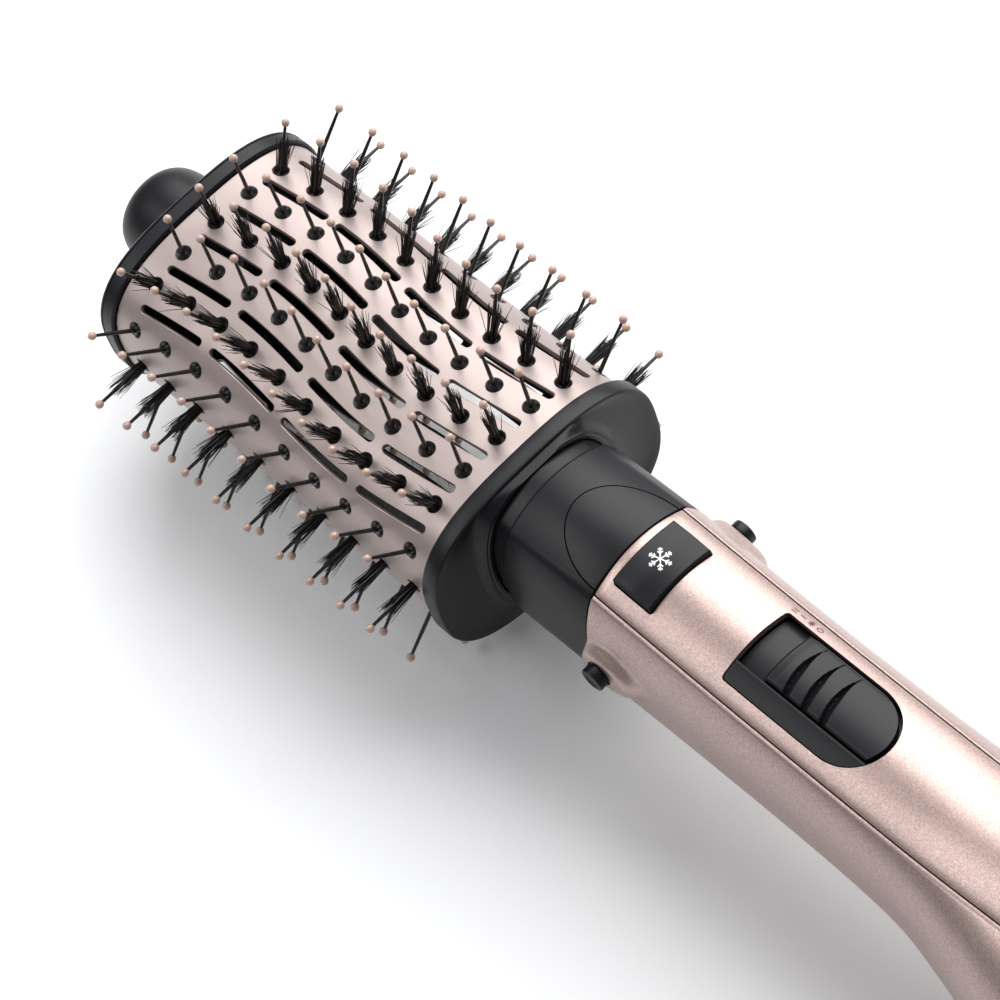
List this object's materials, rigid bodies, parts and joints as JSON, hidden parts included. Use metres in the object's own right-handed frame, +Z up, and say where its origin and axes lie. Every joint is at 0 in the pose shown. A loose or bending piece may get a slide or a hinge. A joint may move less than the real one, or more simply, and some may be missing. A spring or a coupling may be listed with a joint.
{
  "type": "hot air brush",
  "caption": "Hot air styling brush: an oval perforated barrel with rows of tufts and ball-tipped pins, on a detachable neck and a handle with slide switch and cool-shot button.",
  "frame": {"origin": "centre of the base of the whole box: midway along and across the brush, on the surface that it lies on", "axes": "+X along the brush from the nose knob to the tail, +Z up out of the switch deck, +Y across the brush towards the side of the slider's channel"},
  "size_m": [0.37, 0.092, 0.0719],
  "materials": {
    "rose_metal": "satin champagne rose metal",
    "rose_paint": "metallic rose paint with fine sparkle",
    "black_plastic": "fine moulded texture",
    "nylon": "black nylon",
    "pin_tips": "glossy beige rose drops",
    "printed_marks": "printed",
    "steel": "bright",
    "mica": "mica board",
    "heater_wire": "resistance wire",
    "circuit_board": "solder resist",
    "grey_plastic": "moulded",
    "filter_mesh": "woven mesh"
  },
  "bodies": {
    "handle": {"handle_top_shell": "rose_paint", "handle_lower_shell": "rose_paint", "locating_tongue": "black_plastic", "socket_ring": "black_plastic", "case_screw": "steel", "switch_bezel": "black_plastic", "slide_switch_body": "grey_plastic", "control_board": "circuit_board", "cool_shot_board": "circuit_board", "cool_shot_switch": "grey_plastic", "heater_tube": "steel", "mica_cross": "mica", "heater_coil": "heater_wire", "thermal_cutout": "steel", "fan_motor": "steel", "motor_mount": "grey_plastic", "fan_housing": "black_plastic", "rear_cover": "black_plastic", "dust_filter": "filter_mesh", "hang_loop": "black_plastic"},
    "brush_head": {"brush_barrel": "rose_metal", "bristle_strip_01": "nylon", "bristle_strip_02": "nylon", "bristle_strip_03": "nylon", "bristle_strip_04": "nylon", "bristle_strip_05": "nylon", "bristle_strip_06": "nylon", "bristle_strip_07": "nylon", "bristle_strip_08": "nylon", "bristle_strip_09": "nylon", "bristle_strip_10": "nylon", "bristle_strip_11": "nylon", "bristle_strip_12": "nylon", "bristle_strip_13": "nylon", "bristle_strip_14": "nylon", "bristle_strip_15": "nylon", "bristle_strip_16": "nylon", "front_carrier": "black_plastic", "rear_carrier": "black_plastic", "front_cap": "black_plastic", "nose_knob": "black_plastic", "nose_screw": "steel", "rear_flange": "black_plastic", "neck_sleeve": "black_plastic", "neck_spigot": "black_plastic"},
    "cool_shot_button": {"cool_shot_button": "black_plastic"},
    "switch_slider": {"switch_slider": "black_plastic"},
    "release_peg_left": {"release_peg_left": "black_plastic"},
    "release_peg_right": {"release_peg_right": "black_plastic"},
    "fan": {"fan_rotor": "grey_plastic", "motor_shaft": "steel"},
    "cord_gland": {"cord_gland": "black_plastic"}
  },
  "joints": [
    {"name": "head_pull", "type": "slide", "parent": "handle", "child": "brush_head", "axis": [-1, 0, 0], "range_m": [0, 0.045]},
    {"name": "cool_shot_press", "type": "slide", "parent": "handle", "child": "cool_shot_button", "axis": [0, 0, -1], "range_m": [0, 0.0012], "stiffness_N_per_m": 1500},
    {"name": "switch_slide", "type": "slide", "parent": "handle", "child": "switch_slider", "axis": [-0.9988, 0, 0.0489], "range_m": [0, 0.006]},
    {"name": "peg_left_press", "type": "slide", "parent": "handle", "child": "release_peg_left", "axis": [0, 1, 0], "range_m": [0, 0.002], "stiffness_N_per_m": 900},
    {"name": "peg_right_press", "type": "slide", "parent": "handle", "child": "release_peg_right", "axis": [0, -1, 0], "range_m": [0, 0.002], "stiffness_N_per_m": 900},
    {"name": "fan_spin", "type": "hinge", "parent": "handle", "child": "fan", "pos_m": [0.11677, 0, 0.02795], "axis": [1, 0, 0], "continuous": true},
    {"name": "gland_swivel", "type": "hinge", "parent": "handle", "child": "cord_gland", "pos_m": [0.17005, 0, 0.02795], "axis": [1, 0, 0], "continuous": true}
  ]
}
